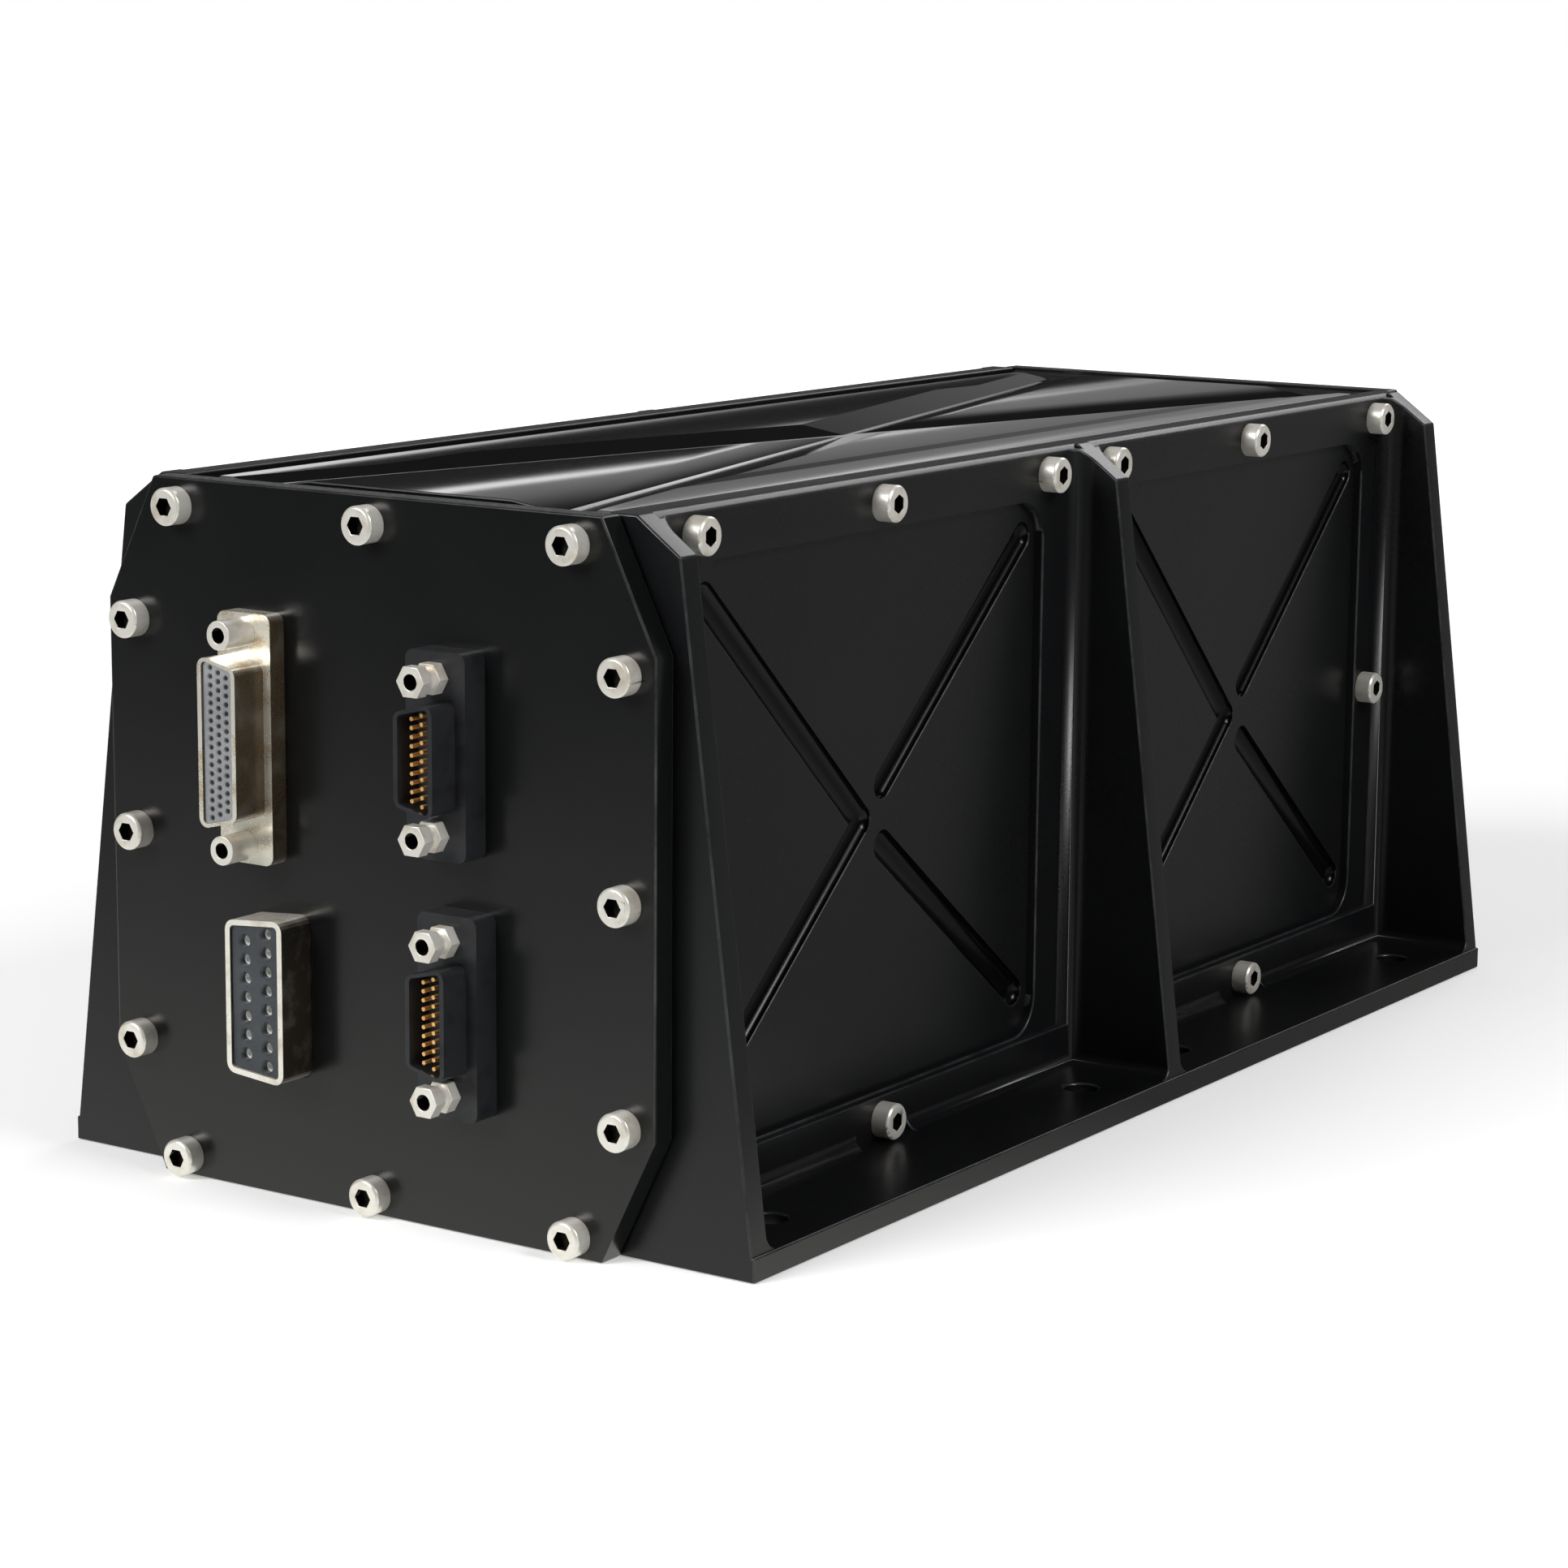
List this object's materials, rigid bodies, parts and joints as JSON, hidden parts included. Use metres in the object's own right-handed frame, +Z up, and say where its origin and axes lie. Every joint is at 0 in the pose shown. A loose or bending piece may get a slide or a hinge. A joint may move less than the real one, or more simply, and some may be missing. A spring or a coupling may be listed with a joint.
{
  "type": "rugged computer enclosure",
  "caption": "Machined black enclosure with flared gussets and a flanged base, recessed X-grooved side panels, a relief top cover and an octagonal front plate with multi-way ports.",
  "frame": {"origin": "centre of the outer base bolt pattern on the base plane", "axes": "+X to the right seen from the front plate, +Y from the front plate to the rear, +Z up"},
  "size_m": [0.1252, 0.2542, 0.1033],
  "materials": {
    "chassis_anodise": "matte black anodised, machined",
    "cover_anodise": "satin black anodised, machined",
    "plate_anodise": "matte black anodised",
    "gasket_rubber": "plain dark sheet",
    "stainless": "bright turned",
    "nickel_shell": "warm electroless nickel plate",
    "tin_shell": "bright tin plate",
    "dark_shell": "dark plated",
    "port_insert": "moulded black",
    "gold_contact": "gold plated",
    "board_laminate": "green solder mask",
    "guide_plastic": "moulded black",
    "socket_plastic": "moulded ivory",
    "package_plastic": "moulded dark grey",
    "bare_aluminium": "machined"
  },
  "bodies": {
    "root": {"chassis": "chassis_anodise", "top_cover": "cover_anodise", "bottom_cover": "chassis_anodise", "front_plate": "plate_anodise", "rear_plate": "plate_anodise", "front_gasket": "gasket_rubber", "rear_gasket": "gasket_rubber", "front_plate_screws": "stainless", "rear_plate_screws": "stainless", "cover_screws": "stainless", "bottom_cover_screws": "stainless", "carrier_screws": "stainless", "large_port_shell": "nickel_shell", "large_port_insert": "port_insert", "large_port_contacts": "gold_contact", "large_port_jackposts": "stainless", "wide_port_shell": "tin_shell", "wide_port_insert": "port_insert", "wide_port_contacts": "gold_contact", "upper_port_shell": "dark_shell", "upper_port_insert": "port_insert", "upper_port_pins": "gold_contact", "upper_port_jackposts": "stainless", "lower_port_shell": "dark_shell", "lower_port_insert": "port_insert", "lower_port_pins": "gold_contact", "lower_port_jackposts": "stainless", "interface_board": "board_laminate", "interface_spacers": "stainless", "interface_screws": "stainless", "card_guides": "guide_plastic", "interface_card": "board_laminate", "processor_card": "board_laminate", "power_card": "board_laminate", "card_sockets": "socket_plastic", "processor_package": "package_plastic", "memory_packages": "package_plastic", "power_coils": "package_plastic", "backplane": "board_laminate", "backplane_carrier": "bare_aluminium", "backplane_screws": "stainless"}
  },
  "joints": []
}
